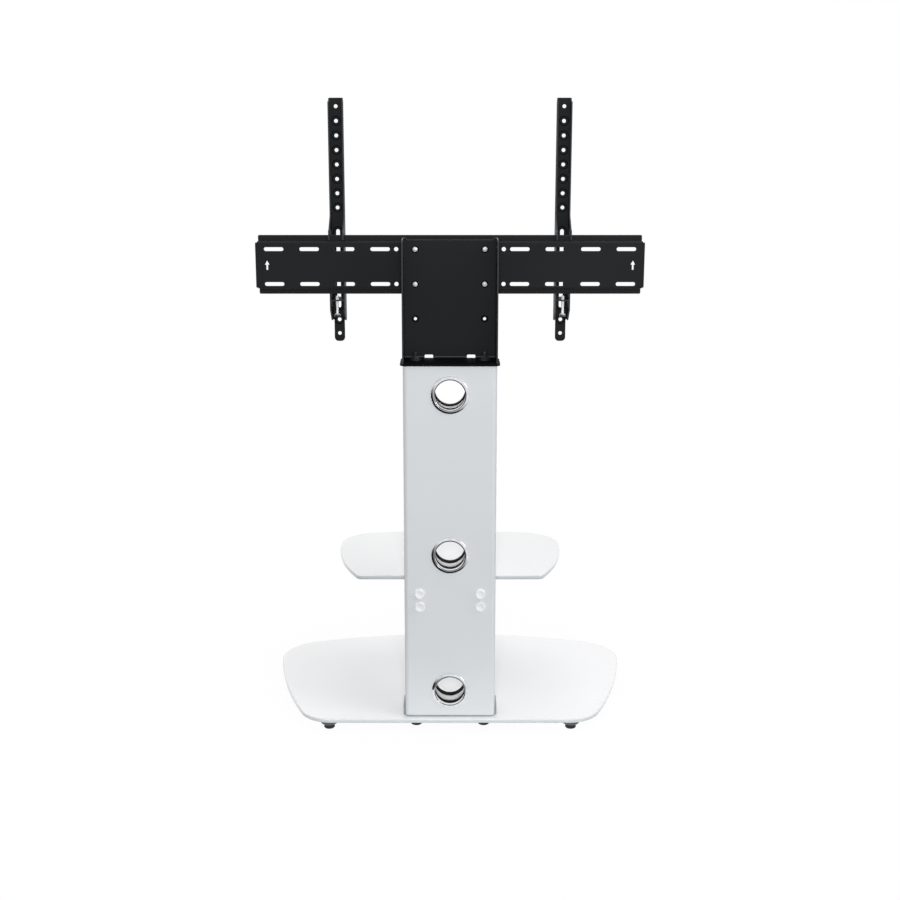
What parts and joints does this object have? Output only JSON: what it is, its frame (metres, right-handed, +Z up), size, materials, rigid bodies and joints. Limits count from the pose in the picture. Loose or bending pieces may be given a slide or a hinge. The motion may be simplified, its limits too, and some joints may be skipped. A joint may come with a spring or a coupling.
{
  "type": "pedestal tv stand",
  "caption": "Pedestal stand for a flat screen: curved white glass base and shelf, white column with cable ports, black tower with a slotted plate and two sliding hook-on arms.",
  "frame": {"origin": "on the floor under the middle of the base glass", "axes": "+Z up, the screen side faces -Y, +X to the right of someone who looks at the screen"},
  "size_m": [0.6836, 0.4314, 1.1336],
  "materials": {
    "white_glass": "polished, painted white on the underside",
    "dark_plastic": "smooth dark grey",
    "white_paint": "satin white powder coat",
    "chrome": "polished",
    "black_powder_coat": "fine matt black powder coat",
    "black_plastic": "satin black",
    "zinc": "bright zinc plate",
    "rubber": "matt black",
    "nylon": "matt black",
    "raw_steel": "dark zinc plate",
    "white_plastic": "white, smooth",
    "bond_pad": "clear grey silicone"
  },
  "bodies": {
    "stand": {"base_glass": "white_glass", "shelf_glass": "white_glass", "foot_disc_back_left": "dark_plastic", "foot_disc_back_right": "dark_plastic", "foot_disc_front_left": "dark_plastic", "foot_disc_front_right": "dark_plastic", "foot_pad_back_left": "rubber", "foot_pad_back_right": "rubber", "foot_pad_front_left": "rubber", "foot_pad_front_right": "rubber", "foot_screws": "zinc", "base_bolts": "zinc", "base_bolt_washers": "nylon", "column_shoe": "dark_plastic", "column_tube": "white_paint", "column_foot_plate": "white_paint", "column_head_plate": "white_paint", "cable_ring_back_low": "chrome", "cable_ring_back_middle": "chrome", "cable_ring_back_top": "chrome", "cable_ring_front_low": "chrome", "cable_ring_front_middle": "chrome", "cable_ring_front_top": "chrome", "shelf_bond_pad": "bond_pad", "shelf_bracket": "white_paint", "shelf_bolts": "zinc", "shelf_bolt_spacers": "raw_steel", "shelf_bolt_caps": "white_plastic", "top_cap": "black_plastic", "tower": "black_powder_coat", "tower_studs": "raw_steel", "tower_nuts": "raw_steel", "tower_washers": "raw_steel", "wall_plate": "black_powder_coat", "plate_bolts": "zinc", "plate_nuts": "zinc"},
    "arm_left": {"arm_left": "black_powder_coat", "lock_tab_left": "black_powder_coat"},
    "arm_right": {"arm_right": "black_powder_coat", "lock_tab_right": "black_powder_coat"},
    "lock_screw_left": {"lock_screw_left": "zinc"},
    "lock_screw_right": {"lock_screw_right": "zinc"}
  },
  "joints": [
    {"name": "arm_slide_left", "type": "slide", "parent": "stand", "child": "arm_left", "axis": [-1, 0, 0], "range_m": [-0.15, 0.1]},
    {"name": "lock_travel_left", "type": "slide", "parent": "arm_left", "child": "lock_screw_left", "axis": [0, 0, 1], "range_m": [-0.006, 0.0032]},
    {"name": "arm_slide_right", "type": "slide", "parent": "stand", "child": "arm_right", "axis": [1, 0, 0], "range_m": [-0.15, 0.1]},
    {"name": "lock_travel_right", "type": "slide", "parent": "arm_right", "child": "lock_screw_right", "axis": [0, 0, 1], "range_m": [-0.006, 0.0032]}
  ]
}
